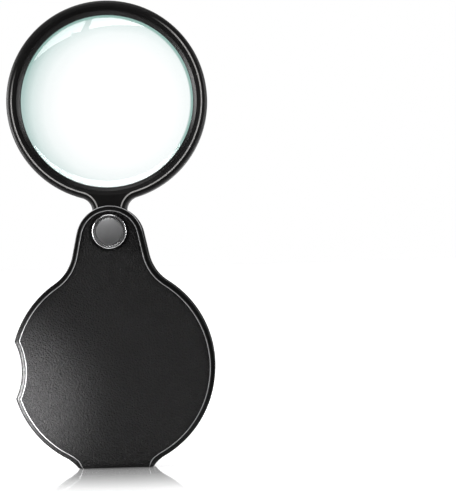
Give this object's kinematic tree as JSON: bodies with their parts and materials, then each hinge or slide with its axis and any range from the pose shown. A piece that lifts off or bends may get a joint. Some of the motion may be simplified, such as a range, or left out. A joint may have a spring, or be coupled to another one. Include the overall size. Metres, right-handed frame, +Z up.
{
  "type": "folding hand lens",
  "caption": "Folding pocket hand lens: a round framed magnifying glass that turns on a rivet between the two leaves of a folded leather cover, which is also its handle.",
  "frame": {"origin": "middle of the underside of the cover's fold", "axes": "+X to the right seen from the front, -Y towards the viewer through the thickness, +Z up from the fold to the lens; the rivet's axis is parallel to Y"},
  "size_m": [0.0587, 0.0116, 0.1358],
  "materials": {
    "leather": "fine grain, satin",
    "lining": "brushed, matt",
    "board": "grey board",
    "cap_chrome": "polished plate",
    "rivet_steel": "plain",
    "washer": "natural nylon",
    "frame": "semi-gloss moulded",
    "ring": "gloss moulded",
    "glass": "polished, clear"
  },
  "bodies": {
    "cover": {"cover_leather": "leather", "cover_lining": "lining", "front_board": "board", "back_board": "board", "rivet_front_cap": "cap_chrome", "rivet_socket": "rivet_steel", "rivet_back_cap": "cap_chrome", "rivet_post": "rivet_steel", "front_washer": "washer", "back_washer": "washer"},
    "lens": {"lens_frame": "frame", "retaining_ring": "ring", "lens_glass": "glass"}
  },
  "joints": [
    {"name": "lens_swing", "type": "hinge", "parent": "cover", "child": "lens", "pos_m": [0, 0, 0.0686], "axis": [0, 1, 0], "continuous": true}
  ]
}
